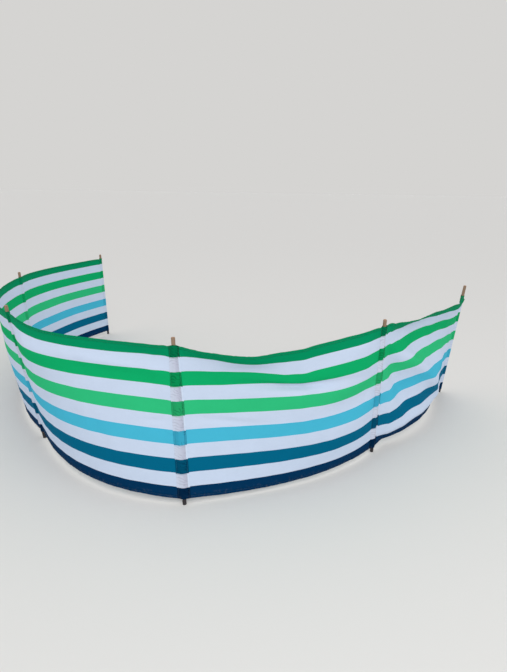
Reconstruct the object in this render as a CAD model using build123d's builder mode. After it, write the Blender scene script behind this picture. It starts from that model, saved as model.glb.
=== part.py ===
# Beach windbreak: six wooden poles pushed through pockets in a long striped cloth, set up as a
# curved shelter of five bays. It is modelled from the sand up, in millimetres, with +Z up.
# The origin is the centre of the front centre pole where it meets the sand. +X runs to the right
# along the front and +Y goes into the sheltered side.
import os
from math import exp, radians, tan

from build123d import *

# Cloth
CLOTH_HEIGHT = 848.0
CLOTH_THICKNESS = 2.0
HEM_HEIGHT = 16.0
HEM_THICKNESS = 4.0

# Poles
POLE_DIAMETER = 22.0
POLE_TOP_CHAMFER = 4.0
POLE_STANDS_PROUD = 42.0
END_POLE_STANDS_PROUD = 80.0

# Pole pockets, sewn from two layers of the cloth
POCKET_WIDTH = 57.0
POCKET_STITCH_MARGIN = 5.0
POCKET_CLOTH = 2.0
POLE_FIT = 0.3

# Clearance between a sewn piece and the next one
SEAM_GAP = 0.3

# Each pole: where it stands, how far its top leans to +X and +Y in degrees, how far the cloth
# hangs clear of the sand, and how far the pole stands above the cloth.
POLES = {
    "far_end": dict(x=-1356, y=3101, lean_x=-0.9, lean_y=-0.5, clear=42, proud=POLE_STANDS_PROUD),
    "back_left": dict(x=-1634, y=1850, lean_x=-3.3, lean_y=1.3, clear=48, proud=POLE_STANDS_PROUD),
    "front_left": dict(x=-1064, y=690, lean_x=-9.8, lean_y=2.5, clear=49, proud=POLE_STANDS_PROUD),
    "front_centre": dict(x=0, y=0, lean_x=-4.1, lean_y=12.4, clear=31, proud=POLE_STANDS_PROUD),
    "front_right": dict(x=1160, y=570, lean_x=-0.8, lean_y=-3.1, clear=35, proud=POLE_STANDS_PROUD),
    "right_end": dict(x=1981, y=1560, lean_x=2.5, lean_y=-5.9, clear=32, proud=END_POLE_STANDS_PROUD),
}

# Each bay: its two poles, how far the cloth bellies outwards between them, how much further it
# does so towards its second pole than towards its first, and how far it droops where it stands
# out the most, each given at its foot, waist and top. A fold is a soft ridge, or a hollow where
# out is below zero. It is given by the shares of the bay's length and height where it lies, by
# the shares that it spreads over, and by how much it climbs along the bay.
BAYS = {
    "back": dict(
        poles=("far_end", "back_left"),
        belly=(110, 125, 115),
        shift=(0, 20, 30),
        droop=(8, 8, 15),
        folds=(),
    ),
    "left": dict(
        poles=("back_left", "front_left"),
        belly=(120, 140, 125),
        shift=(0, 0, 0),
        droop=(8, 8, 15),
        folds=(),
    ),
    "front_left": dict(
        poles=("front_left", "front_centre"),
        belly=(154, 168, 150),
        shift=(22, -28, -95),
        droop=(10, 8, 4),
        folds=(),
    ),
    "front_right": dict(
        poles=("front_centre", "front_right"),
        belly=(95, 112, 155),
        shift=(30, 93, 20),
        droop=(12, 17, 32),
        folds=(),
    ),
    "right": dict(
        poles=("front_right", "right_end"),
        belly=(115, 50, 81),
        shift=(-38, -23, 120),
        droop=(-20, -30, -5),
        folds=(
            dict(along=0.38, up=0.50, wide=0.39, tall=0.10, out=39, climb=-1.0),
            dict(along=0.41, up=0.81, wide=0.30, tall=0.17, out=-45, climb=-0.13),
            dict(along=0.18, up=0.48, wide=0.13, tall=0.19, out=-45, climb=-1.98),
            dict(along=0.66, up=0.39, wide=0.16, tall=0.15, out=45, climb=0.05),
        ),
    ),
}
PANEL_SECTIONS = 8
CURVE_STEPS = 4


class Pole:
    """Where one pole stands, which way it points and which way its pocket lies."""

    def __init__(self, x, y, lean_x, lean_y, clear, proud):
        self.foot = Vector(x, y, 0)
        self.up = Vector(tan(radians(lean_x)), tan(radians(lean_y)), 1).normalized()
        self.clear = clear
        self.proud = proud
        self.bay_directions = []

    def at(self, height):
        """The point on the pole's axis that far along it from the sand."""
        return self.foot + self.up * height

    def cloth_point(self, share):
        """The point on the axis at a share of the cloth's height, from 0 at the foot to 1."""
        return self.at(self.clear + share * CLOTH_HEIGHT)

    def pocket_direction(self):
        """Along the cloth at this pole: midway between its bays and square to the pole."""
        along = Vector(0, 0, 0)
        for direction in self.bay_directions:
            along += direction
        along -= self.up * along.dot(self.up)
        return along.normalized()

    def pocket_normal(self):
        """Square to the pocket, pointing out of the shelter."""
        return self.pocket_direction().cross(self.up)

    def edge_point(self, share, reach):
        """The cloth's edge beside the pocket, at a share of its height."""
        return self.cloth_point(share) + self.pocket_direction() * reach


poles = {name: Pole(**values) for name, values in POLES.items()}
for bay in BAYS.values():
    start, end = (poles[name] for name in bay["poles"])
    chord = (end.foot - start.foot).normalized()
    start.bay_directions.append(chord)
    end.bay_directions.append(chord)


def save(part, name):
    part.label = name
    export_step(part, f"parts/{name}.step")


def make_pole(name):
    """A round dowel with a bevelled top, cut off level with the sand."""
    pole = poles[name]
    length = pole.clear + CLOTH_HEIGHT + pole.proud
    buried = POLE_DIAMETER
    with BuildPart() as dowel:
        with BuildSketch(Plane(origin=pole.at(-buried), z_dir=pole.up)):
            Circle(POLE_DIAMETER / 2)
        extrude(amount=buried + length)
        chamfer(dowel.faces().sort_by(Axis.Z)[-1].edges(), POLE_TOP_CHAMFER)
        split(bisect_by=Plane.XY, keep=Keep.TOP)
    save(dowel.part, f"pole_{name}")


def make_pocket(name):
    """Two layers of cloth round the pole, drawn together at the stitching each side."""
    pole = poles[name]
    plane = Plane(origin=pole.cloth_point(0), x_dir=pole.pocket_direction(), z_dir=pole.up)
    inner_radius = POLE_DIAMETER / 2 + POLE_FIT
    outer_radius = inner_radius + POCKET_CLOTH
    outer_tip = POCKET_WIDTH / 2 - POCKET_CLOTH
    inner_tip = outer_tip - POCKET_STITCH_MARGIN
    sides = pocket_sides(pole)
    with BuildPart() as pocket:
        with BuildSketch(plane):
            with BuildLine():
                CenterArc((0, 0), outer_radius, 0, 360)
                for side in sides:
                    CenterArc((side * outer_tip, 0), POCKET_CLOTH, 0, 360)
            make_hull()
            with BuildSketch(plane, mode=Mode.SUBTRACT):
                with BuildLine():
                    CenterArc((0, 0), inner_radius, 0, 360)
                    for side in sides:
                        CenterArc((side * inner_tip, 0), POLE_FIT, 0, 360)
                make_hull()
        extrude(amount=CLOTH_HEIGHT)
    save(pocket.part, f"pocket_{name}")


def pocket_sides(pole):
    """The sides of the pole that its pocket is sewn on: both, or only the cloth's at an end."""
    if len(pole.bay_directions) == 2:
        return (-1, 1)
    return (1,) if pole is poles["far_end"] else (-1,)


def at_height(values, share):
    """A belly or droop at a share of the height: the parabola through its foot, waist and top."""
    foot, waist, top = values
    return (
        foot * 2 * (share - 0.5) * (share - 1)
        + waist * 4 * share * (1 - share)
        + top * 2 * share * (share - 0.5)
    )


def reach_outwards(bay, along, share):
    """How far the cloth stands out from the straight line between its poles."""
    bow = 4 * along * (1 - along)
    belly = at_height(bay["belly"], share)
    shift = at_height(bay["shift"], share) * (2 * along - 1)
    out = bow * (belly + shift)
    for fold in bay["folds"]:
        across = (along - fold["along"]) / fold["wide"]
        crest = fold["up"] + fold["climb"] * (along - fold["along"])
        over = (share - crest) / fold["tall"]
        out += fold["out"] * exp(-(across**2) - over**2) * min(1, 3 * bow)
    return out


def make_cloth(name, part, low, high, thickness, sections):
    """One strip of a bay between two shares of the cloth's height.

    It is a loft up through level sections. Each section is a thin ribbon that leaves both pockets
    square to their stitching and runs between them as far out as the bay gives for its height.
    Its plane is tilted so that the ribbon droops by what the bay gives where it is furthest out.
    """
    bay = BAYS[name]
    start, end = (poles[pole] for pole in bay["poles"])
    reach = POCKET_WIDTH / 2 + SEAM_GAP
    with BuildPart() as cloth:
        for step in range(sections):
            share = low + (high - low) * step / (sections - 1)
            a = start.edge_point(share, reach)
            b = end.edge_point(share, -reach)
            chord = b - a
            outwards = Vector(chord.Y, -chord.X, 0).normalized()
            steps = [i / CURVE_STEPS for i in range(1, CURVE_STEPS)]
            outs = [reach_outwards(bay, along, share) for along in steps]
            fall = at_height(bay["droop"], share) / max(outs)
            bow = outwards - Axis.Z.direction * fall
            level = Plane(origin=a, x_dir=chord, z_dir=chord.cross(bow))
            ribbon = [(a, start.pocket_normal())]
            for along, out in zip(steps, outs):
                ribbon.append((a + chord * along + bow * out, outwards))
            ribbon.append((b, end.pocket_normal()))
            with BuildSketch(level):
                with BuildLine():
                    outer, inner = (
                        Spline(*[in_plane(level, p + n * side) for p, n in ribbon])
                        for side in (thickness / 2, -thickness / 2)
                    )
                    Line(outer @ 0, inner @ 0)
                    Line(outer @ 1, inner @ 1)
                make_face()
        loft(ruled=True)
    save(cloth.part, f"{part}_{name}")


def in_plane(plane, point):
    local = plane.to_local_coords(point)
    return (local.X, local.Y)


os.makedirs("parts", exist_ok=True)
hem_share = HEM_HEIGHT / CLOTH_HEIGHT
gap_share = SEAM_GAP / CLOTH_HEIGHT

for pole_name in POLES:
    make_pole(pole_name)
    make_pocket(pole_name)

for bay_name in BAYS:
    panel_foot = hem_share + gap_share
    make_cloth(bay_name, "panel", panel_foot, 1 - panel_foot, CLOTH_THICKNESS, PANEL_SECTIONS)
    make_cloth(bay_name, "top_hem", 1 - hem_share, 1, HEM_THICKNESS, 2)
    make_cloth(bay_name, "bottom_hem", 0, hem_share, HEM_THICKNESS, 2)
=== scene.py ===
# Looks of a beach windbreak: striped woven cloth on wooden poles, set up as a curved shelter.
# Lengths are in metres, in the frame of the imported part, and heights on the cloth run from its foot.
import math

import bpy
import numpy as np
from mathutils import Matrix, Vector


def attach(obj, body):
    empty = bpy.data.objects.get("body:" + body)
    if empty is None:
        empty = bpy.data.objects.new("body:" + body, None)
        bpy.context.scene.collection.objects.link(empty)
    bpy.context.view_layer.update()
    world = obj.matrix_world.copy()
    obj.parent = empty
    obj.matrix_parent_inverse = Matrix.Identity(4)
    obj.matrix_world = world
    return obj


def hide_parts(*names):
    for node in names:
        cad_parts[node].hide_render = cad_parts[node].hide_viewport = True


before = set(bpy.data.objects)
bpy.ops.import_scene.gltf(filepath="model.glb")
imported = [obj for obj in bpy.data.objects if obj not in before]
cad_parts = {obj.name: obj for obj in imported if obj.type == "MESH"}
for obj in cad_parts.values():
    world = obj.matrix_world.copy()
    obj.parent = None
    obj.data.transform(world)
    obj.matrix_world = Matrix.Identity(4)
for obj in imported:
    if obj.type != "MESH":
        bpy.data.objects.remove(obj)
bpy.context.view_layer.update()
bpy.ops.object.select_all(action="DESELECT")

# Camera, as it stood for the photograph
CAMERA_PLACE = (0.364, -2.162, 1.649)
CAMERA_PITCH_DOWN = math.radians(17.415)
CAMERA_ROLL = math.radians(0.844)
CAMERA_SENSOR = 36.0
CAMERA_LENS = 24.96
CAMERA_REACH = 1000

# Stage: the sky's strength, the soft lamp, the floor, and a backdrop as bright as the far floor
DAYLIGHT = 0.90
KEY_POWER = 108
KEY_SIZE = 4.0
KEY_PLACE = (1.8, -4.7, 4.7)
KEY_AIM = (0.0, 0.8, 0.4)
FLOOR = (222, 221, 219)
FLOOR_SIZE = 600
BACKDROP = (213, 212, 210)

# Poles: where each stands, how it leans, how far above the ground its cloth starts, and how far the
# pole stands proud of the cloth
POLES = {
    "far_end": dict(foot=(-1.356, 3.101), lean=(-0.9, -0.5), clear=0.042, proud=0.042),
    "back_left": dict(foot=(-1.634, 1.850), lean=(-3.3, 1.3), clear=0.048, proud=0.042),
    "front_left": dict(foot=(-1.064, 0.690), lean=(-9.8, 2.5), clear=0.049, proud=0.042),
    "front_centre": dict(foot=(0.0, 0.0), lean=(-4.1, 12.4), clear=0.031, proud=0.042),
    "front_right": dict(foot=(1.160, 0.570), lean=(-0.8, -3.1), clear=0.035, proud=0.042),
    "right_end": dict(foot=(1.981, 1.560), lean=(2.5, -5.9), clear=0.032, proud=0.080),
}
ROUND_THE_SHELTER = tuple(POLES)

# Cloth. A bay is wider than the space between its sleeves by the slack, so that it can belly out, and
# its edges are turned over into hems. A piece tucks under the next one by the tuck.
CLOTH_HEIGHT = 0.848
CLOTH_THICKNESS = 0.0006
CLOTH_SLACK = 0.030
STRIPE = 0.080
EDGE_STRIPE = 0.064
HEM = 0.016
HEM_GAP = 0.0011
TUCK = 0.004

# Sleeves that hold the poles: half their width, how far out their seams run, how far each layer
# stands from the middle over the pole and at the edges, and the cloth that goes once round
SLEEVE_HALF = 0.0285
SLEEVE_SEAM = 0.0225
SLEEVE_BULGE = 0.0121
SLEEVE_EDGE_GAP = 0.0010
SLEEVE_FACES_ROUND = 56
SLEEVE_FACES_UP = 140

# The edge of a bay's cloth, from the middle of its pole
BAY_EDGE = SLEEVE_HALF - TUCK

# A sleeve widens from this height down, over this length
WIDENS_FROM = 0.93 * CLOTH_HEIGHT
WIDENS_OVER = 0.25

# A sleeve's layers round off into its edges, over this share of their turn, and stand out over hems
ROUNDS_OFF = 0.12
OVER_HEM = 0.0010
HEM_STEP = 0.002

# The small waves all over a sleeve, and the deeper ones just inside its seams, where its layers part
LAYERS_PART = 0.002
SLEEVE_RIPPLE = 0.0005
SLEEVE_PUCKER = 0.0016
PUCKER_PLACE = 0.017
PUCKER_REACH = 0.006
PUCKER_LENGTHS = (0.037, 0.024, 0.061)
PUCKER_SLANT = 0.45

# How each sleeve is sewn on: how much further it reaches each side below its top, how far its
# stripes stand above the cloth's, how steeply they climb towards the next pole, how much painted
# shade darkens its white stripes on the side towards the next pole, and how strongly its second
# layer, painted shade and painted highlight show
SLEEVES = {
    "far_end": dict(widens=0.0, raised=0.002, climb=0.0, shaded_side=0.3, painted_share=0.5),
    "back_left": dict(widens=0.0, raised=-0.003, climb=0.0, shaded_side=0.3, painted_share=0.5),
    "front_left": dict(widens=0.002, raised=-0.008, climb=-0.06, shaded_side=0.5, painted_share=0.8),
    "front_centre": dict(widens=0.0065, raised=-0.004, climb=0.0, shaded_side=1.0, painted_share=1.0),
    "front_right": dict(widens=0.004, raised=0.005, climb=0.15, shaded_side=0.6, painted_share=1.0),
    "right_end": dict(widens=0.0, raised=0.003, climb=0.0, shaded_side=0.3, painted_share=0.5),
}

# Stitches, how far their rows lie past a sleeve's seam, and how far inside a hem's sewn edge
STITCH_PITCH = 0.0050
STITCH_LENGTH = 0.0036
STITCH_WIDTH = 0.0008
STITCH_PAST_SEAM = 0.0012
STITCH_INSIDE_HEM = 0.003

# Stripe colours, from the foot of the cloth to its top
NAVY = (2, 50, 88)
TEAL = (2, 101, 135)
CYAN = (72, 184, 214)
LIGHT_GREEN = (48, 191, 126)
GREEN = (14, 172, 105)
DARK_GREEN = (3, 142, 94)
WHITE = (201, 215, 237)
STRIPES = (NAVY, WHITE, TEAL, WHITE, CYAN, WHITE, LIGHT_GREEN, WHITE, GREEN, WHITE, DARK_GREEN)

# Uneven dye: the darkest shade, and how much two sizes of mottle brighten it
DARKEST_SHADE = 0.955
MOTTLE = 0.05
FINE_MOTTLE = 0.03

# Dry sand on the foot of the cloth
DUST = (178, 164, 146)
DUST_SHARE = 0.12
DUST_REACH = 0.05

# How dull the cloth is, and how much of that its raised threads lose
CLOTH_ROUGHNESS = 0.86
THREAD_GLOSS = 0.16
CLOTH_SPECULAR = 0.02

# How deep the shaded creases are on each kind of cloth, and how often they come along it and up it
CLOTH_CREASES = 0.0030
HEM_CREASES = 0.0010
SLEEVE_CREASES = 0.0016
CREASE_COUNTS = (9.0, 3.0, 1.0)

# Weave: from thread to thread, and how far the threads stand up
THREAD_PITCH = 0.0009
THREAD_RISE = 0.0002

# What deepens a hem, with painted shade along its fold: its colour, how far in from the fold it eases
# off, and from what share to what
HEM_FOLD_SHADE = (196, 196, 200)
FOLD_REACH = (0.0010, 0.0040)
FOLD_SHARES = (0.9, 0.25)

# A sleeve's second layer: how much lower its stripes lie and how much of its dye shows through. Then
# the doubled cloth with painted shade from the pole and the sleeve's inside, on the deeper stripes
# and on the cyan ones, and on the white ones a painted lit side and a painted shaded side, with where
# across the sleeve the one turns into the other
LAYER_SHIFT = 0.007
LAYER_SHOWS = 0.25
DOUBLED_SHADED_DEEP = (223, 223, 226)
DOUBLED_SHADED_CYAN = (245, 245, 246)
LIT_SIDE_WHITE = (262, 254, 250)
SHADED_SIDE_WHITE = (236, 225, 224)
SHADED_SIDE_ACROSS = (-0.020, 0.018)

# The flap past a sleeve's seam on the side of the next pole, single and bright on white, partly its
# own white and partly a painted highlight, and where across the sleeve it begins
FLAP_HIGHLIGHT = (268, 266, 263)
FLAP_BEGINS = (SLEEVE_SEAM - 0.0026, SLEEVE_SEAM - 0.0014)

# The red in a stripe tells cyan from the deeper dyes, and white from all of them
CYAN_RED = (0.03, 0.09)
WHITE_RED = (0.10, 0.50)

# The painted shade lines on a sleeve, along its sunken seams and edges: their colour, how far out
# they run, how they widen, and their shares on dyed and on white cloth
SEAM_SHADE = (196, 198, 204)
SHADED_LINES = (SLEEVE_SEAM - 0.0015, SLEEVE_HALF - 0.0012)
LINE_REACH = (0.0010, 0.0024)
LINE_SHARES = (0.80, 0.16)

# The painted shade in the puckers on a sleeve: its colour, the puckers' pitch, and its shares on dyed
# and on white cloth
PUCKER_SHADE = (150, 150, 162)
PUCKER_PITCH = 0.017
PUCKER_SHARES = (0.50, 0.22)

# Sewing thread, and how much it shows of its own colour
THREAD_DARK = (84, 112, 104)
THREAD_LIGHT = (134, 158, 150)
THREAD_SHARE = 0.35

# Wood: its grain, the end grain from just below a pole's top, and painted shadow on its foot
WOOD_DARK = (112, 90, 74)
WOOD_MIDDLE = (144, 119, 98)
WOOD_LIGHT = (168, 144, 122)
WOOD_PATCH = (140, 108, 84)
END_GRAIN_DARK = (146, 112, 88)
END_GRAIN_LIGHT = (178, 148, 122)
END_GRAIN_BEGINS = 0.006
END_GRAIN_FULL = 0.001
FOOT_SHADOW = (32, 32, 40)
FOOT_SHADOW_BELOW = 0.032
NO_SHADOW_ABOVE = 0.065

# Each bay hangs between two poles. Its cloth bellies out at foot, waist and top, with the deepest
# place shifted towards the second pole where the shift is above zero. A fold is a soft ridge, or a
# hollow where out is below zero: where along the bay and up it, how wide, how tall, how deep, and
# how much it climbs along the bay. A lip is where the top of the cloth flops outwards, or inwards
# where out is below zero. The cloth droops midway by the first of foot_droop, and more towards its
# second pole by the second, and lift takes it up again at its waist and top. The sag is how far its
# top corner slips down at its first and its second pole. The tuck is how far the foot of the cloth
# swings outwards, or inwards where it is below zero.
BAYS = {
    "back": dict(
        poles=("far_end", "back_left"),
        belly=(0.110, 0.125, 0.115),
        shift=(0.0, 0.020, 0.030),
        foot_droop=(0.010, 0.0),
        lift=(0.0, 0.0),
        folds=(dict(along=0.62, up=0.45, wide=0.20, tall=0.22, out=-0.018, climb=0.6),),
        lips=(),
        sag=(0.003, 0.003),
        tuck=0.0,
    ),
    "left": dict(
        poles=("back_left", "front_left"),
        belly=(0.105, 0.125, 0.120),
        shift=(0.0, 0.0, 0.0),
        foot_droop=(0.010, 0.0),
        lift=(0.0, 0.0),
        folds=(dict(along=0.40, up=0.62, wide=0.22, tall=0.18, out=0.014, climb=-0.5),),
        lips=(),
        sag=(0.002, 0.003),
        tuck=0.0,
    ),
    "front_left": dict(
        poles=("front_left", "front_centre"),
        belly=(0.152, 0.162, 0.133),
        shift=(0.022, -0.028, -0.145),
        foot_droop=(0.000, -0.012),
        lift=(0.0, -0.010),
        folds=(
            dict(along=0.756, up=0.850, wide=0.271, tall=0.044, out=0.018, climb=-0.075),
            dict(along=0.930, up=0.505, wide=0.060, tall=0.018, out=-0.006, climb=0.150),
        ),
        lips=(
            dict(along=0.866, wide=0.159, start=0.919, out=0.023),
            dict(along=0.257, wide=0.210, start=0.809, out=-0.073),
        ),
        sag=(0.0, 0.004),
        tuck=0.0,
    ),
    "front_right": dict(
        poles=("front_centre", "front_right"),
        belly=(0.094, 0.128, 0.151),
        shift=(0.030, 0.100, 0.0555),
        foot_droop=(0.006, -0.009),
        lift=(0.0, 0.008),
        folds=(
            dict(along=0.496, up=0.720, wide=0.239, tall=0.037, out=-0.035, climb=-0.080),
            dict(along=0.884, up=0.518, wide=0.241, tall=0.118, out=-0.026, climb=0.254),
            dict(along=0.190, up=0.494, wide=0.130, tall=0.022, out=-0.008, climb=-0.200),
        ),
        lips=(
            dict(along=0.284, wide=0.175, start=0.811, out=0.072),
            dict(along=0.089, wide=0.113, start=0.912, out=0.026),
            dict(along=0.860, wide=0.100, start=0.900, out=-0.028),
        ),
        sag=(0.007, 0.0),
        tuck=0.0,
    ),
    "right": dict(
        poles=("front_right", "right_end"),
        belly=(0.145, 0.050, 0.081),
        shift=(-0.038, -0.023, 0.120),
        foot_droop=(-0.020, 0.005),
        lift=(0.030, 0.030),
        folds=(
            dict(along=0.381, up=0.499, wide=0.393, tall=0.10, out=0.039, climb=-1.003),
            dict(along=0.407, up=0.81, wide=0.30, tall=0.17, out=-0.045, climb=-0.127),
            dict(along=0.177, up=0.483, wide=0.134, tall=0.187, out=-0.045, climb=-1.98),
            dict(along=0.662, up=0.392, wide=0.164, tall=0.15, out=0.045, climb=0.053),
        ),
        lips=(dict(along=0.256, wide=0.25, start=0.92, out=0.033),),
        sag=(0.0, 0.002),
        tuck=-0.051,
    ),
}

# The share of the cloth's height that the tuck reaches up, how far down a sag reaches, and the share
# of the bay's length that it spreads over
TUCK_REACH = 0.11
SAG_REACH = 0.064
SAG_SPREAD = 0.06

# The faces of a bay's cloth and its hems
FACES_ALONG = 212
FACES_UP = 104

# The bow of a bay is 0 at its poles and 1 midway. Folds and creases fade out where it is below these.
FOLD_BOW = 0.3
CREASE_BOW = 0.2

# The steepest that a crease may lean, as a share of the cloth's own height
STEEPEST = 0.97

# Small creases in a bay: how deep, how far they slant, and the lengths of their waves. The first two
# are puckers beside the sleeves and the hems, and the others are left from rolling the cloth up. The
# puckers fade out from a seam or hem over their reach, and begin just past the seam's own stitches.
SEAM_CREASES = dict(deep=0.0022, slant=0.50, lengths=(0.043, 0.027, 0.071), seed=0)
EDGE_CREASES = dict(deep=0.0011, slant=0.0, lengths=(0.036, 0.023, 0.058), seed=3)
LONG_CREASES = dict(deep=0.0016, slant=0.35, lengths=(0.19, 0.31, 0.13), seed=5)
CROSS_CREASES = dict(deep=0.0009, slant=-0.25, lengths=(0.11, 0.17), seed=8)
SEAM_REACH = 0.035
SEAM_START = 0.004
EDGE_REACH = 0.030


def unit(v):
    """A direction, or rows of them, brought to length one."""
    return v / np.linalg.norm(v, axis=-1, keepdims=True)


def ease(t):
    t = np.clip(t, 0, 1)
    return t * t * (3 - 2 * t)


def at_height(values, v):
    """A value that goes smoothly from foot to waist to top."""
    foot, waist, top = values
    return foot * 2 * (v - 0.5) * (v - 1) + waist * 4 * v * (1 - v) + top * 2 * v * (v - 0.5)


def ripples(x, y, lengths, seed):
    """Small uneven waves that run along x and drift with y, between about -1 and 1."""
    total = 0
    for i, length in enumerate(lengths):
        phase = seed * 1.7 + i * 2.3 + 1.1 * np.sin(y * (7 + 3 * i) + seed + i)
        swell = 0.6 + 0.4 * np.sin(x * 2 * math.pi / (length * 3.7) + seed * 0.9 + i)
        total = total + np.sin(x * 2 * math.pi / length + phase) * swell
    return total / len(lengths) ** 0.7


def crease(kind, along, across, seed):
    """One kind of small crease, whose waves follow each other along and drift across."""
    slanted = along + kind["slant"] * across
    return kind["deep"] * ripples(slanted, across, kind["lengths"], seed + kind["seed"])


def near_the_top(height):
    """From 0 below the reach of a sagging corner to 1 at the cloth's top."""
    return ease((height - CLOTH_HEIGHT + SAG_REACH) / SAG_REACH)


class Pole:
    """A pole: its foot, its direction, and how the cloth runs past it."""

    def __init__(self, name):
        made = POLES[name]
        self.name = name
        self.foot = np.array([*made["foot"], 0.0])
        lean_x, lean_y = (math.tan(math.radians(angle)) for angle in made["lean"])
        self.up = unit(np.array([lean_x, lean_y, 1.0]))
        self.clear = made["clear"]
        self.top = made["clear"] + CLOTH_HEIGHT + made["proud"]
        self.is_first = name == ROUND_THE_SHELTER[0]
        self.is_last = name == ROUND_THE_SHELTER[-1]
        self.widens = SLEEVES[name]["widens"]
        self.sag_before = self.sag_after = 0.0
        for bay in BAYS.values():
            if bay["poles"][0] == name:
                self.sag_after = bay["sag"][0]
            if bay["poles"][1] == name:
                self.sag_before = bay["sag"][1]

    def look_along(self):
        """Sets the direction of the cloth past the pole, from the poles on each side."""
        here = ROUND_THE_SHELTER.index(self.name)
        runs = []
        if not self.is_first:
            runs.append(unit(self.foot - poles[ROUND_THE_SHELTER[here - 1]].foot))
        if not self.is_last:
            runs.append(unit(poles[ROUND_THE_SHELTER[here + 1]].foot - self.foot))
        along = sum(runs)
        self.along = unit(along - (along @ self.up) * self.up)
        self.out = np.cross(self.along, self.up)

    def at(self, height, along=0.0, out=0.0):
        """Places by the pole: height on the cloth, reach along the cloth, and reach outwards."""
        height, along, out = np.broadcast_arrays(height, along, out)
        risen = (self.clear + height)[..., None] * self.up
        return self.foot + risen + along[..., None] * self.along + out[..., None] * self.out


poles = {name: Pole(name) for name in POLES}
for pole in poles.values():
    pole.look_along()


class Bay:
    """The hung form of one bay of cloth."""

    COLUMNS = 241
    ROWS = 137

    def __init__(self, name, seed):
        self.made = BAYS[name]
        self.name = name
        self.seed = seed
        self.start, self.end = (poles[pole] for pole in self.made["poles"])
        between = np.linalg.norm(self.end.foot - self.start.foot) - 2 * SLEEVE_HALF
        self.width = between + CLOTH_SLACK
        u = np.linspace(0, 1, self.COLUMNS)[:, None]
        v = np.linspace(0, 1, self.ROWS)[None, :]
        self.table = self.hang(u + 0 * v, v + 0 * u)

    def belly(self, u, v):
        """How far the cloth hangs out from the straight line between its poles."""
        made = self.made
        bow = 4 * u * (1 - u)
        held = np.minimum(1, bow / FOLD_BOW)
        out = bow * (at_height(made["belly"], v) + (2 * u - 1) * at_height(made["shift"], v))
        for fold in made["folds"]:
            across = (u - fold["along"]) / fold["wide"]
            over = (v - fold["up"] - fold["climb"] * (u - fold["along"])) / fold["tall"]
            out = out + fold["out"] * np.exp(-(across**2) - over**2) * held
        for lip in made["lips"]:
            across = (u - lip["along"]) / lip["wide"]
            flop = ease((v - lip["start"]) / (1 - lip["start"]))
            out = out + lip["out"] * np.exp(-(across**2)) * flop * np.minimum(1, bow / lip["wide"])
        out = out + made["tuck"] * ease(1 - v / TUCK_REACH) * held
        return out + self.creases(u, v)

    def creases(self, u, v):
        """Puckers at the sewn edges, and the faint unevenness of cloth that has been rolled up."""
        along, up = u * self.width, v * CLOTH_HEIGHT
        from_start, from_end = along, self.width - along
        seam = np.exp(-from_start / SEAM_REACH) + np.exp(-from_end / SEAM_REACH)
        seam = seam * (1 - np.exp(-np.minimum(from_start, from_end) / SEAM_START))
        edge = np.exp(-np.minimum(up, CLOTH_HEIGHT - up) / EDGE_REACH)
        free = np.minimum(1, 4 * u * (1 - u) / CREASE_BOW)
        size = seam * crease(SEAM_CREASES, up, along, self.seed)
        size = size + free * edge * crease(EDGE_CREASES, along, up, self.seed)
        size = size + free * crease(LONG_CREASES, along, up, self.seed)
        return size + free * crease(CROSS_CREASES, up, along, self.seed)

    def hang(self, u, v):
        """Places on the cloth, which keeps its own height, so that it droops where it bellies."""
        made = self.made
        height = v * CLOTH_HEIGHT
        first, last = self.start.at(height, BAY_EDGE), self.end.at(height, -BAY_EDGE)
        across = last - first
        outward = unit(np.stack([across[..., 1], -across[..., 0], 0 * u], axis=-1))
        out = self.belly(u, v)
        rise = np.diff(height, axis=1)
        lean = np.clip(np.diff(out, axis=1) / rise, -STEEPEST, STEEPEST)
        lost = np.zeros_like(u)
        lost[:, 1:] = np.cumsum(rise * (1 - np.sqrt(1 - lean**2)), axis=1)
        bow = 4 * u * (1 - u)
        middle, turn = made["foot_droop"]
        waist, top = made["lift"]
        lost = lost + bow * (middle + (2 * u - 1) * turn) - bow * at_height((0, waist, top), v)
        sag_first, sag_last = made["sag"]
        sag = sag_first * np.exp(-u / SAG_SPREAD) + sag_last * np.exp(-(1 - u) / SAG_SPREAD)
        lost = lost + sag * near_the_top(height)
        places = first + across * u[..., None] + outward * out[..., None]
        places[..., 2] -= lost
        return places

    def place(self, u, v, out=0.0):
        """Places at shares u and v of the cloth's width and height, out from its surface, with the
        directions along the cloth and out of it."""
        u, v, out = np.broadcast_arrays(u, v, out)
        i = np.clip(u, 0, 1) * (self.COLUMNS - 1)
        j = np.clip(v, 0, 1) * (self.ROWS - 1)
        low_i = np.minimum(i.astype(int), self.COLUMNS - 2)
        low_j = np.minimum(j.astype(int), self.ROWS - 2)
        s, t = (i - low_i)[..., None], (j - low_j)[..., None]
        a, b = self.table[low_i, low_j], self.table[low_i + 1, low_j]
        c, d = self.table[low_i, low_j + 1], self.table[low_i + 1, low_j + 1]
        places = a * (1 - s) * (1 - t) + b * s * (1 - t) + c * (1 - s) * t + d * s * t
        along, up = unit(b - a + d - c), unit(c - a + d - b)
        normal = unit(np.cross(along, up))
        return places + normal * out[..., None], along, normal


bays = {name: Bay(name, seed) for seed, name in enumerate(BAYS)}


# Materials


def linear(colour):
    """A colour in linear light, from its usual 0 to 255 parts."""
    parts = (c / 255 / 12.92 if c <= 10 else ((c / 255 + 0.055) / 1.055) ** 2.4 for c in colour)
    return (*parts, 1.0)


def new_group(name, inputs, outputs):
    """A shader node group with the named inputs and outputs."""
    group = bpy.data.node_groups.new(name, "ShaderNodeTree")
    for label, kind, value in inputs:
        socket = group.interface.new_socket(label, in_out="INPUT", socket_type=kind)
        if value is not None:
            socket.default_value = value
    for label, kind in outputs:
        group.interface.new_socket(label, in_out="OUTPUT", socket_type=kind)
    return group, group.nodes.new("NodeGroupInput"), group.nodes.new("NodeGroupOutput")


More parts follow.
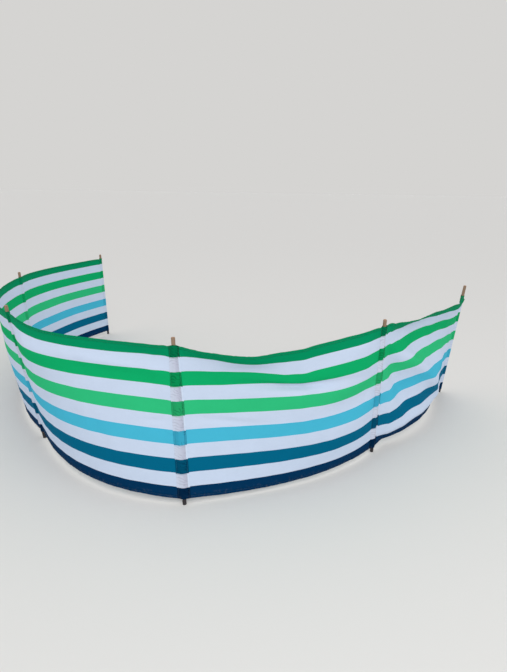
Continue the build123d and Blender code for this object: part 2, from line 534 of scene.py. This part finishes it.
def join(tree, node, inputs):
    """Sets a node's inputs to values, or joins them to sockets."""
    for key, value in dict(inputs).items():
        if isinstance(value, bpy.types.NodeSocket):
            tree.links.new(value, node.inputs[key])
        else:
            node.inputs[key].default_value = value


def add_node(tree, kind, inputs=(), **settings):
    node = tree.nodes.new(kind)
    for key, value in settings.items():
        setattr(node, key, value)
    join(tree, node, inputs)
    return node


def maths(tree, operation, *values):
    return add_node(tree, "ShaderNodeMath", dict(enumerate(values)), operation=operation).outputs[0]


def mix_colours(tree, share, first, second, blend="MIX"):
    node = add_node(tree, "ShaderNodeMix", data_type="RGBA", blend_type=blend)
    join(tree, node, {0: share, 6: first, 7: second})
    return node.outputs[2]


def mix_values(tree, share, first, second):
    return add_node(tree, "ShaderNodeMix", {0: share, 2: first, 3: second}).outputs[0]


def spread(tree, value, low, high, to_low=0.0, to_high=1.0):
    """Takes the range from low to high onto another range, and stays inside it."""
    node = add_node(tree, "ShaderNodeMapRange", interpolation_type="SMOOTHSTEP")
    join(tree, node, {0: value, 1: low, 2: high, 3: to_low, 4: to_high})
    return node.outputs[0]


def noise_value(tree, vector, scale, detail=2.0, roughness=0.5):
    inputs = {"Vector": vector, "Scale": scale, "Detail": detail, "Roughness": roughness}
    return add_node(tree, "ShaderNodeTexNoise", inputs).outputs[0]


def make_stripes_group():
    """The dyed stripes, by height above the foot of the cloth."""
    inputs = [("Height", "NodeSocketFloat", 0.0)]
    group, start, end = new_group("Dyed stripes", inputs, [("Color", "NodeSocketColor")])
    share = maths(group, "DIVIDE", start.outputs["Height"], CLOTH_HEIGHT)
    ramp = add_node(group, "ShaderNodeValToRGB", {"Fac": share})
    ramp.color_ramp.interpolation = "CONSTANT"
    stops = ramp.color_ramp.elements
    while len(stops) < len(STRIPES):
        stops.new(0.5)
    for i, colour in enumerate(STRIPES):
        stops[i].position = 0 if i == 0 else (EDGE_STRIPE + (i - 1) * STRIPE) / CLOTH_HEIGHT
        stops[i].color = linear(colour)
    group.links.new(ramp.outputs["Color"], end.inputs["Color"])
    return group


def make_weave_group():
    """A plain weave: two sets of threads that pass over and under each other."""
    inputs = [("Vector", "NodeSocketVector", None), ("Thread pitch", "NodeSocketFloat", THREAD_PITCH)]
    group, start, end = new_group("Plain weave", inputs, [("Height", "NodeSocketFloat")])
    turns = maths(group, "DIVIDE", math.pi, start.outputs["Thread pitch"])
    scaled = add_node(group, "ShaderNodeVectorMath", {0: start.outputs["Vector"]}, operation="SCALE")
    join(group, scaled, {"Scale": turns})
    parts = add_node(group, "ShaderNodeSeparateXYZ", {0: scaled.outputs[0]})
    across = maths(group, "SINE", parts.outputs["X"])
    upwards = maths(group, "SINE", parts.outputs["Y"])
    over = maths(group, "GREATER_THAN", maths(group, "MULTIPLY", across, upwards), 0.0)
    warp = maths(group, "ABSOLUTE", across)
    weft = maths(group, "ABSOLUTE", upwards)
    group.links.new(mix_values(group, over, warp, weft), end.inputs["Height"])
    return group


def make_wear_group():
    """Uneven dye, soft creases from being rolled up, and dust that gathers near the foot."""
    inputs = [("Vector", "NodeSocketVector", None), ("Height", "NodeSocketFloat", 0.5)]
    outputs = [(label, "NodeSocketFloat") for label in ("Shade", "Dust", "Creases")]
    group, start, end = new_group("Cloth in use", inputs, outputs)
    vector = start.outputs["Vector"]
    mottle = maths(group, "MULTIPLY", noise_value(group, vector, scale=6.0, detail=3.0), MOTTLE)
    fine = maths(group, "MULTIPLY", noise_value(group, vector, scale=55.0), FINE_MOTTLE)
    shade = maths(group, "ADD", maths(group, "ADD", mottle, fine), DARKEST_SHADE)
    group.links.new(shade, end.inputs["Shade"])
    low = spread(group, start.outputs["Height"], 0.0, DUST_REACH, 1.0, 0.0)
    grains = noise_value(group, vector, scale=60.0, detail=3.0, roughness=0.6)
    dust = maths(group, "MULTIPLY", low, spread(group, grains, 0.52, 0.74))
    group.links.new(dust, end.inputs["Dust"])
    stretched = add_node(group, "ShaderNodeMapping", {"Vector": vector, "Scale": CREASE_COUNTS})
    soft = noise_value(group, stretched.outputs[0], scale=1.6, detail=3.0, roughness=0.55)
    sharp = maths(group, "SUBTRACT", noise_value(group, vector, scale=14.0), 0.5)
    fold = maths(group, "MULTIPLY", maths(group, "ABSOLUTE", sharp), 0.5)
    group.links.new(maths(group, "SUBTRACT", soft, fold), end.inputs["Creases"])
    return group


def make_wood_group():
    """Straight-grained wood, in the pole's own directions with its length along Z."""
    inputs = [("Vector", "NodeSocketVector", None), ("Seed", "NodeSocketFloat", 0.0)]
    outputs = [("Color", "NodeSocketColor")]
    outputs += [(label, "NodeSocketFloat") for label in ("Roughness", "Height")]
    group, start, end = new_group("Straight grain", inputs, outputs)
    seed = start.outputs["Seed"]
    offset = add_node(group, "ShaderNodeCombineXYZ", {0: seed, 1: seed, 2: seed}).outputs[0]
    inputs = {0: start.outputs["Vector"], 1: offset}
    moved = add_node(group, "ShaderNodeVectorMath", inputs, operation="ADD").outputs[0]
    long, thin = (
        add_node(group, "ShaderNodeMapping", {"Vector": moved, "Scale": (1.0, 1.0, share)}).outputs[0]
        for share in (0.06, 0.02)
    )
    rings = add_node(group, "ShaderNodeTexWave", {"Vector": long, "Scale": 95.0}, bands_direction="X")
    join(group, rings, {"Distortion": 5.0, "Detail": 2.0, "Detail Scale": 0.6})
    fibres = noise_value(group, thin, scale=1500.0, detail=2.0, roughness=0.6)
    tone = mix_values(group, 0.55, rings.outputs["Fac"], fibres)
    ramp = add_node(group, "ShaderNodeValToRGB", {"Fac": tone})
    stops = ramp.color_ramp.elements
    stops[0].position, stops[0].color = 0.2, linear(WOOD_DARK)
    stops[1].position, stops[1].color = 0.8, linear(WOOD_LIGHT)
    stops.new(0.5).color = linear(WOOD_MIDDLE)
    patches = maths(group, "MULTIPLY", noise_value(group, moved, scale=14.0), 0.35)
    patched = mix_colours(group, patches, ramp.outputs["Color"], linear(WOOD_PATCH))
    group.links.new(patched, end.inputs["Color"])
    dull = maths(group, "MULTIPLY_ADD", fibres, 0.2, 0.5)
    group.links.new(dull, end.inputs["Roughness"])
    group.links.new(fibres, end.inputs["Height"])
    return group


def make_pucker_group():
    """Slanting puckers on a sleeve that is drawn tight over its pole, from -1 to 1, where painted shade
    falls in their hollows.
    """
    inputs = [("Across", "NodeSocketFloat", 0.0), ("Height", "NodeSocketFloat", 0.5)]
    group, start, end = new_group("Sleeve puckers", inputs, [("Depth", "NodeSocketFloat")])
    across, height = start.outputs["Across"], start.outputs["Height"]
    place = add_node(group, "ShaderNodeCombineXYZ", {0: across, 1: height}).outputs[0]
    drift = maths(group, "SUBTRACT", noise_value(group, place, scale=26.0), 0.5)
    turn = maths(group, "MULTIPLY_ADD", drift, 4.0, PUCKER_SLANT)
    turned = maths(group, "ADD", height, maths(group, "MULTIPLY", across, turn))
    slanted = maths(group, "ADD", turned, maths(group, "MULTIPLY", drift, 0.04))
    wave = maths(group, "SINE", maths(group, "MULTIPLY", slanted, 2 * math.pi / PUCKER_PITCH))
    strength = spread(group, noise_value(group, place, scale=16.0), 0.36, 0.58)
    group.links.new(maths(group, "MULTIPLY", wave, strength), end.inputs["Depth"])
    return group


effects = {}


def effect(tree, make, inputs):
    """Places a shared effect in a material, with this material's own values."""
    if make not in effects:
        effects[make] = make()
    node = tree.nodes.new("ShaderNodeGroup")
    node.node_tree = effects[make]
    join(tree, node, inputs)
    return node.outputs


def new_material(name):
    material = bpy.data.materials.new(name)
    material.use_nodes = True
    return material, material.node_tree, material.node_tree.nodes["Principled BSDF"]


def finish_cloth(tree, shader, uv, height, colour, crease_depth):
    """What every cloth shares: uneven dye, a little sand at its foot, creases and weave."""
    wear = effect(tree, make_wear_group, {"Vector": uv, "Height": height})
    dyed = mix_colours(tree, 1.0, colour, wear["Shade"], "MULTIPLY")
    dust = maths(tree, "MULTIPLY", wear["Dust"], DUST_SHARE)
    dusty = mix_colours(tree, dust, dyed, linear(DUST))
    weave = effect(tree, make_weave_group, {"Vector": uv})["Height"]
    creased = add_node(tree, "ShaderNodeBump", {"Height": wear["Creases"], "Distance": crease_depth})
    woven = add_node(tree, "ShaderNodeBump", {"Height": weave, "Strength": 0.5})
    join(tree, woven, {"Distance": THREAD_RISE, "Normal": creased.outputs[0]})
    tree.links.new(dusty, shader.inputs["Base Color"])
    tree.links.new(woven.outputs[0], shader.inputs["Normal"])
    dull = maths(tree, "MULTIPLY_ADD", weave, -THREAD_GLOSS, CLOTH_ROUGHNESS)
    tree.links.new(dull, shader.inputs["Roughness"])
    shader.inputs["Specular IOR Level"].default_value = CLOTH_SPECULAR


def cloth_coordinates(tree):
    """The cloth's own measures: both as a vector, then across it and up it."""
    uv = add_node(tree, "ShaderNodeUVMap").outputs["UV"]
    place = add_node(tree, "ShaderNodeSeparateXYZ", {0: uv})
    return uv, place.outputs["X"], place.outputs["Y"]


def make_cloth_material():
    material, tree, shader = new_material("striped cloth")
    uv, _, height = cloth_coordinates(tree)
    colour = effect(tree, make_stripes_group, {"Height": height})["Color"]
    finish_cloth(tree, shader, uv, height, colour, CLOTH_CREASES)
    return material


def make_hem_material():
    """The hems are the edge stripes turned over, a little deeper in colour, with painted shade
    along the fold.
    """
    material, tree, shader = new_material("turned hem")
    uv, _, height = cloth_coordinates(tree)
    colour = effect(tree, make_stripes_group, {"Height": height})["Color"]
    # Painted shade along the hem's fold, and a little deeper colour over the rest of it
    from_top = maths(tree, "SUBTRACT", CLOTH_HEIGHT, height)
    from_edge = maths(tree, "MINIMUM", height, from_top)
    share = spread(tree, from_edge, *FOLD_REACH, *FOLD_SHARES)
    deeper = mix_colours(tree, share, colour, linear(HEM_FOLD_SHADE), "MULTIPLY")
    finish_cloth(tree, shader, uv, height, deeper, HEM_CREASES)
    return material


def show_layer_and_paint_shade(tree, front, here, across, red, pale, shaded_side):
    """The layer behind shows through and deepens the stripes. Painted shade of the pole and the
    sleeve's inside darkens them, and on white a painted lit side turns into a painted shaded side.
    """
    lower = maths(tree, "ADD", here, LAYER_SHIFT)
    behind = effect(tree, make_stripes_group, {"Height": lower})["Color"]
    tint = mix_colours(tree, 1.0, behind, linear(WHITE), "DIVIDE")
    through = mix_colours(tree, LAYER_SHOWS, (1.0, 1.0, 1.0, 1.0), tint)
    doubled = mix_colours(tree, 1.0, front, through, "MULTIPLY")
    # Painted shade from the pole and the sleeve's inside; on white, a painted lit side and shaded side
    is_cyan = spread(tree, red, *CYAN_RED)
    on_dyed = mix_colours(tree, is_cyan, linear(DOUBLED_SHADED_DEEP), linear(DOUBLED_SHADED_CYAN))
    side = spread(tree, across, *SHADED_SIDE_ACROSS, 0.0, shaded_side)
    on_white = mix_colours(tree, side, linear(LIT_SIDE_WHITE), linear(SHADED_SIDE_WHITE))
    painted_fill = mix_colours(tree, pale, on_dyed, on_white)
    return mix_colours(tree, 1.0, doubled, painted_fill, "MULTIPLY")


def shade_lines(tree, colour, across, pale):
    """Painted shade lines at a sleeve's sunken seams and edges, weaker on the side of the pole before
    it.
    """
    off_centre = maths(tree, "ABSOLUTE", across)
    for line in SHADED_LINES:
        away = maths(tree, "ABSOLUTE", maths(tree, "SUBTRACT", off_centre, line))
        sunk = spread(tree, away, *LINE_REACH, 1.0, 0.0)
        # Painted shade, half as strong on the side of the pole before it
        deep = maths(tree, "MULTIPLY", sunk, spread(tree, across, -0.002, 0.002, 0.5, 1.0))
        share = maths(tree, "MULTIPLY", deep, mix_values(tree, pale, *LINE_SHARES))
        colour = mix_colours(tree, share, colour, linear(SEAM_SHADE), "MULTIPLY")
    return colour


def make_sleeve_material(pole):
    """Doubled cloth, drawn into puckers over the pole and sunk along its seams, with painted shade from
    the pole inside, in its puckers and along its seams, and a painted highlight on one flap.
    """
    sewn = SLEEVES[pole.name]
    material, tree, shader = new_material("sleeve cloth " + pole.name)
    uv, across, height = cloth_coordinates(tree)
    level = maths(tree, "MULTIPLY_ADD", across, -sewn["climb"], height)
    here = maths(tree, "SUBTRACT", level, sewn["raised"])
    front = effect(tree, make_stripes_group, {"Height": here})["Color"]
    red = add_node(tree, "ShaderNodeSeparateColor", {0: front}).outputs[0]
    pale = spread(tree, red, *WHITE_RED)
    # The second layer showing through, with painted shade and a painted lit side
    layer_and_shade = show_layer_and_paint_shade(tree, front, here, across, red, pale, sewn["shaded_side"])
    # Painted shade in the hollows of the puckers
    puckers = effect(tree, make_pucker_group, {"Across": across, "Height": height})["Depth"]
    hollow = spread(tree, puckers, -0.1, -0.9)
    share = maths(tree, "MULTIPLY", hollow, mix_values(tree, pale, *PUCKER_SHARES))
    pucker_shaded = mix_colours(tree, share, layer_and_shade, linear(PUCKER_SHADE), "MULTIPLY")
    # Painted highlight on the white flap past the seam, on the side of the next pole
    past_seam = spread(tree, across, *FLAP_BEGINS)
    flap = mix_colours(tree, 1.0, front, linear(FLAP_HIGHLIGHT), "MULTIPLY")
    colour = mix_colours(tree, maths(tree, "MULTIPLY", past_seam, pale), pucker_shaded, flap)
    colour = shade_lines(tree, colour, across, pale)
    # How strongly the second layer, painted shade and painted highlight show on this sleeve
    seen = mix_colours(tree, sewn["painted_share"], front, colour)
    finish_cloth(tree, shader, uv, height, seen, SLEEVE_CREASES)
    return material


def make_thread_material():
    """Thread that takes up some of the colour of the stripe it is sewn through."""
    material, tree, shader = new_material("sewing thread")
    coordinates = add_node(tree, "ShaderNodeTexCoord").outputs["Object"]
    height = add_node(tree, "ShaderNodeAttribute", attribute_name="cloth_height").outputs["Fac"]
    dyed = effect(tree, make_stripes_group, {"Height": height})["Color"]
    tone = noise_value(tree, coordinates, scale=900.0)
    plain = mix_colours(tree, tone, linear(THREAD_DARK), linear(THREAD_LIGHT))
    colour = mix_colours(tree, THREAD_SHARE, dyed, plain)
    tree.links.new(colour, shader.inputs["Base Color"])
    bump = add_node(tree, "ShaderNodeBump", {"Height": tone, "Strength": 0.6, "Distance": 0.0002})
    tree.links.new(bump.outputs[0], shader.inputs["Normal"])
    shader.inputs["Roughness"].default_value = 0.6
    return material


def make_wood_material(pole, seed):
    """Bare wood with its grain along the pole, end grain on top and painted shadow on its foot."""
    material, tree, shader = new_material("bare wood " + pole.name)
    coordinates = add_node(tree, "ShaderNodeTexCoord").outputs["Object"]
    turn = Vector(pole.up).to_track_quat("Z", "Y").to_euler()
    local = add_node(tree, "ShaderNodeMapping", {"Vector": coordinates}, vector_type="TEXTURE")
    join(tree, local, {"Location": tuple(pole.foot), "Rotation": tuple(turn)})
    vector = local.outputs[0]
    wood = effect(tree, make_wood_group, {"Vector": vector, "Seed": seed * 0.37})
    height = add_node(tree, "ShaderNodeSeparateXYZ", {0: vector}).outputs["Z"]
    ends = add_node(tree, "ShaderNodeTexWave", {"Vector": vector, "Scale": 260.0}, wave_type="RINGS")
    ends.rings_direction = "Z"
    join(tree, ends, {"Distortion": 1.5, "Detail": 1.0})
    grain = ends.outputs["Fac"]
    end_grain = mix_colours(tree, grain, linear(END_GRAIN_DARK), linear(END_GRAIN_LIGHT))
    at_top = spread(tree, height, pole.top - END_GRAIN_BEGINS, pole.top - END_GRAIN_FULL)
    capped = mix_colours(tree, at_top, wood["Color"], end_grain)
    # Painted shadow on the pole's foot under the cloth, full low down and gone higher up
    shadow_share = spread(tree, height, FOOT_SHADOW_BELOW, NO_SHADOW_ABOVE, 0.95, 0.0)
    foot_shaded = mix_colours(tree, shadow_share, capped, linear(FOOT_SHADOW))
    tree.links.new(foot_shaded, shader.inputs["Base Color"])
    tree.links.new(wood["Roughness"], shader.inputs["Roughness"])
    bump = add_node(tree, "ShaderNodeBump", {"Height": wood["Height"], "Strength": 0.35})
    bump.inputs["Distance"].default_value = 0.0004
    tree.links.new(bump.outputs[0], shader.inputs["Normal"])
    shader.inputs["Specular IOR Level"].default_value = 0.35
    return material


# Pieces


def grid_piece(name, along, up, place, measure):
    """A grid of along by up faces. place(s, t) gives its places, measure(s, t) its cloth sizes."""
    bpy.ops.mesh.primitive_grid_add(x_subdivisions=along, y_subdivisions=up, size=1)
    piece = bpy.context.object
    piece.name = piece.data.name = name
    mesh = piece.data
    flat = np.empty(len(mesh.vertices) * 3)
    mesh.vertices.foreach_get("co", flat)
    flat = flat.reshape(-1, 3)
    mesh.vertices.foreach_set("co", place(flat[:, 0] + 0.5, flat[:, 1] + 0.5).ravel())
    uv = np.empty(len(mesh.loops) * 2)
    mesh.uv_layers[0].data.foreach_get("uv", uv)
    uv = uv.reshape(-1, 2)
    measured = np.stack(measure(uv[:, 0], uv[:, 1]), axis=1)
    mesh.uv_layers[0].data.foreach_set("uv", measured.ravel())
    mesh.update()
    return piece


def finish_sheet(piece, material, closes=False):
    """Gives a cloth its thickness and its material. One that closes round on itself is merged."""
    if closes:
        bpy.ops.object.mode_set(mode="EDIT")
        bpy.ops.mesh.select_all(action="SELECT")
        bpy.ops.mesh.remove_doubles(threshold=0.00005)
        bpy.ops.object.mode_set(mode="OBJECT")
    solid = piece.modifiers.new("thickness", "SOLIDIFY")
    solid.thickness = CLOTH_THICKNESS
    solid.offset = 0
    bpy.ops.object.modifier_apply(modifier="thickness")
    bpy.ops.object.shade_smooth()
    piece.data.materials.clear()
    piece.data.materials.append(material)
    piece.select_set(False)


def make_bay_cloth(bay):
    low = HEM - TUCK
    tall = CLOTH_HEIGHT - 2 * low

    def place(s, t):
        return bay.place(s, (low + tall * t) / CLOTH_HEIGHT)[0]

    def measure(s, t):
        return s * bay.width, low + tall * t

    cloth = grid_piece("cloth_" + bay.name, FACES_ALONG, FACES_UP, place, measure)
    finish_sheet(cloth, cloth_finish)
    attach(cloth, "root")
    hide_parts("panel_" + bay.name)


def make_hem(bay, which):
    """The cloth's edge, turned over once and sewn down."""
    turned = (1.0, 0.72, 0.45, 0.20, 0.05, 0.0, 0.0, 0.05, 0.20, 0.45, 0.72, 1.0)
    gaps = (0.75, 1.0, 1.2, 1.3, 1.0, 0.4, -0.4, -1.0, -1.3, -1.2, -1.0, -0.75)
    steps = np.linspace(0, 1, len(turned))

    def place(s, t):
        height = HEM * np.interp(t, steps, turned)
        if which == "top":
            height = CLOTH_HEIGHT - height
        return bay.place(s, height / CLOTH_HEIGHT, HEM_GAP * np.interp(t, steps, gaps))[0]

    def measure(s, t):
        height = HEM * np.abs(2 * t - 1)
        return s * bay.width, CLOTH_HEIGHT - height if which == "top" else height

    hem = grid_piece(which + "_edge_" + bay.name, FACES_ALONG, len(turned) - 1, place, measure)
    finish_sheet(hem, hem_finish)
    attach(hem, "root")
    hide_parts(which + "_hem_" + bay.name)


def sleeve_gap(across):
    """Half the space between a sleeve's two layers, by distance from the pole's middle line."""
    inside = np.clip(np.abs(across) / SLEEVE_SEAM, 0, 1)
    return SLEEVE_EDGE_GAP + (SLEEVE_BULGE - SLEEVE_EDGE_GAP) * np.cos(inside * math.pi / 2) ** 1.4


def wrap_free_side(pole, across, out):
    """An end sleeve has a flap on one side only: on the other, its cloth runs round the pole."""
    free_side = -1 if pole.is_first else 1
    loose = across * free_side > 0
    around = np.clip(np.abs(across) / SLEEVE_HALF, 0, 1) * math.pi / 2
    out = np.where(loose, SLEEVE_BULGE * np.cos(around), out)
    return np.where(loose, free_side * SLEEVE_BULGE * np.sin(around), across), out


def sleeve_waves(across, height, seed):
    """Small waves all over a sleeve, deepest just inside its seams."""
    near_seam = np.exp(-(((np.abs(across) - PUCKER_PLACE) / PUCKER_REACH) ** 2))
    slanted = height + PUCKER_SLANT * np.abs(across)
    waves = ripples(slanted, across * 9, PUCKER_LENGTHS, seed)
    return (SLEEVE_PUCKER * near_seam + SLEEVE_RIPPLE) * waves


def lay_on_bays(pole, places, across, height, out):
    """Past the edges of the bays' cloth, the flaps of a sleeve lie on that cloth."""
    for bay in bays.values():
        if pole in (bay.start, bay.end):
            past = (across if pole is bay.start else -across) - BAY_EDGE
            u = past / bay.width if pole is bay.start else 1 - past / bay.width
            on_bay = bay.place(u, height / CLOTH_HEIGHT, out)[0]
            places = np.where((past > 0)[..., None], on_bay, places)
    return places


def sleeve_place(pole, turn, height, seed):
    """Places on a sleeve: turn goes once round it, from the edge that faces the next pole. It stands
    out a little over the hems, and its top corners sag with those of the bays."""
    angle = turn * 2 * math.pi
    half = SLEEVE_HALF + pole.widens * ease((WIDENS_FROM - height) / WIDENS_OVER)
    across = half * np.cos(angle)
    side = np.where(np.sin(angle) >= 0, 1.0, -1.0)
    edge = ease(np.abs(np.sin(angle)) / ROUNDS_OFF)
    out = sleeve_gap(SLEEVE_HALF * np.cos(angle)) * edge
    if pole.is_first or pole.is_last:
        across, out = wrap_free_side(pole, across, out)
    out = out + edge * sleeve_waves(across, height, seed + side) * (out > LAYERS_PART)
    past_top, past_foot = height - (CLOTH_HEIGHT - HEM), HEM - height
    out = out + OVER_HEM * edge * (ease(past_top / HEM_STEP) + ease(past_foot / HEM_STEP))
    corner = np.where(across > 0, pole.sag_after, pole.sag_before)
    sag = corner * np.clip(np.abs(across) / BAY_EDGE, 0, 1) * near_the_top(height)
    places = pole.at(height - sag, across, side * out)
    return lay_on_bays(pole, places, across, height, side * out)


def make_sleeve(pole, seed):
    def place(s, t):
        return sleeve_place(pole, s, CLOTH_HEIGHT * t, seed)

    def measure(s, t):
        return SLEEVE_HALF * np.cos(s * 2 * math.pi), CLOTH_HEIGHT * t

    faces = (SLEEVE_FACES_ROUND, SLEEVE_FACES_UP)
    sleeve = grid_piece("sleeve_" + pole.name, *faces, place, measure)
    finish_sheet(sleeve, make_sleeve_material(pole), closes=True)
    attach(sleeve, "root")
    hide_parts("pocket_" + pole.name)


def one_stitch():
    """One stitch: a short grain of thread that dives into the cloth at both ends."""
    bpy.ops.mesh.primitive_uv_sphere_add(segments=5, ring_count=4, radius=0.5)
    grain = bpy.context.object
    grain.data.transform(Matrix.Rotation(math.pi / 2, 4, "Y"))
    points = np.array([tuple(corner.co) for corner in grain.data.vertices])
    faces = [tuple(face.vertices) for face in grain.data.polygons]
    bpy.data.objects.remove(grain, do_unlink=True)
    return points, faces


def make_stitches(name, rows):
    """Copies the stitch to every place in the rows, laid along its seam, as one piece."""
    places, along, out, heights = (np.concatenate(part) for part in zip(*rows))
    points, faces = stitch
    axes = np.stack([along, np.cross(out, along), out], axis=1)
    size = np.array([STITCH_LENGTH, STITCH_WIDTH, STITCH_WIDTH * 0.8])
    copies = places[:, None, :] + np.einsum("pk,nkc->npc", points * size, axes)
    corners = len(points)
    all_faces = [tuple(i + n * corners for i in face) for n in range(len(places)) for face in faces]
    mesh = bpy.data.meshes.new(name)
    mesh.from_pydata(copies.reshape(-1, 3).tolist(), [], all_faces)
    mesh.polygons.foreach_set("use_smooth", [True] * len(mesh.polygons))
    sewn_at = mesh.attributes.new("cloth_height", "FLOAT", "POINT")
    sewn_at.data.foreach_set("value", np.repeat(heights, corners))
    mesh.materials.append(thread_finish)
    piece = bpy.data.objects.new(name, mesh)
    bpy.context.collection.objects.link(piece)
    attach(piece, "root")


def make_hem_stitches(bay):
    count = int(bay.width / STITCH_PITCH)
    u = (np.arange(count) + 0.5) / count
    rows = []
    from_edge = HEM - STITCH_INSIDE_HEM
    for height in (from_edge, CLOTH_HEIGHT - from_edge):
        for side in (1, -1):
            out = side * (HEM_GAP * 0.9 + CLOTH_THICKNESS * 0.5)
            places, along, normal = bay.place(u, height / CLOTH_HEIGHT, out)
            rows.append((places, along, side * normal, np.full(count, height)))
    make_stitches("hem_stitches_" + bay.name, rows)


def make_sleeve_stitches(pole, seed):
    count = int(CLOTH_HEIGHT / STITCH_PITCH)
    height = (np.arange(count) + 0.5) * STITCH_PITCH
    sewn_edges = (1,) if pole.is_first else (-1,) if pole.is_last else (1, -1)
    rows = []
    for edge in sewn_edges:
        turn = math.acos(edge * (SLEEVE_SEAM + STITCH_PAST_SEAM) / SLEEVE_HALF) / (2 * math.pi)
        for layer in (1, -1):
            turns = np.full(count, turn if layer > 0 else 1 - turn)
            places = sleeve_place(pole, turns, height, seed)
            places = places + layer * pole.out * CLOTH_THICKNESS * 0.5
            along, out = np.tile(pole.up, (count, 1)), np.tile(layer * pole.out, (count, 1))
            rows.append((places, along, out, height))
    make_stitches("sleeve_stitches_" + pole.name, rows)


def make_stage():
    """A pale floor that runs far out, under soft even light."""
    bpy.ops.mesh.primitive_plane_add(size=FLOOR_SIZE, location=(0, 0, 0))
    floor = bpy.context.object
    floor.name = "floor"
    material, _, shader = new_material("pale floor")
    shader.inputs["Base Color"].default_value = linear(FLOOR)
    shader.inputs["Roughness"].default_value = 0.95
    shader.inputs["Specular IOR Level"].default_value = 0.1
    floor.data.materials.append(material)
    floor.select_set(False)
    world = bpy.data.worlds.new("soft daylight")
    world.use_nodes = True
    tree = world.node_tree
    daylight = tree.nodes["Background"]
    join(tree, daylight, {"Color": (1, 1, 1, 1), "Strength": DAYLIGHT})
    backdrop = add_node(tree, "ShaderNodeBackground", {"Color": linear(BACKDROP), "Strength": 1.0})
    seen = add_node(tree, "ShaderNodeLightPath").outputs["Is Camera Ray"]
    either = add_node(tree, "ShaderNodeMixShader", {0: seen})
    join(tree, either, {1: daylight.outputs[0], 2: backdrop.outputs[0]})
    tree.links.new(either.outputs[0], tree.nodes["World Output"].inputs["Surface"])
    bpy.context.scene.world = world
    lamp = bpy.data.lights.new("soft key", "AREA")
    lamp.energy = KEY_POWER
    lamp.size = KEY_SIZE
    holder = bpy.data.objects.new("soft key", lamp)
    bpy.context.collection.objects.link(holder)
    place = Vector(KEY_PLACE)
    aim = (Vector(KEY_AIM) - place).to_track_quat("-Z", "Y")
    holder.matrix_world = Matrix.Translation(place) @ aim.to_matrix().to_4x4()


def make_camera():
    camera = bpy.data.cameras.new("camera")
    camera.sensor_width = CAMERA_SENSOR
    camera.lens = CAMERA_LENS
    camera.clip_end = CAMERA_REACH
    holder = bpy.data.objects.new("camera", camera)
    bpy.context.collection.objects.link(holder)
    tilt = Matrix.Rotation(math.pi / 2 - CAMERA_PITCH_DOWN, 4, "X")
    roll = Matrix.Rotation(CAMERA_ROLL, 4, "Z")
    holder.matrix_world = Matrix.Translation(CAMERA_PLACE) @ tilt @ roll
    bpy.context.scene.camera = holder


make_camera()
make_stage()
cloth_finish = make_cloth_material()
hem_finish = make_hem_material()
thread_finish = make_thread_material()
stitch = one_stitch()
for seed, pole in enumerate(poles.values()):
    make_sleeve(pole, seed)
    make_sleeve_stitches(pole, seed)
    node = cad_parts["pole_" + pole.name]
    node.data.materials.clear()
    node.data.materials.append(make_wood_material(pole, seed))
for bay in bays.values():
    make_bay_cloth(bay)
    make_hem(bay, "top")
    make_hem(bay, "bottom")
    make_hem_stitches(bay)

bpy.context.scene.view_settings.view_transform = "Standard"
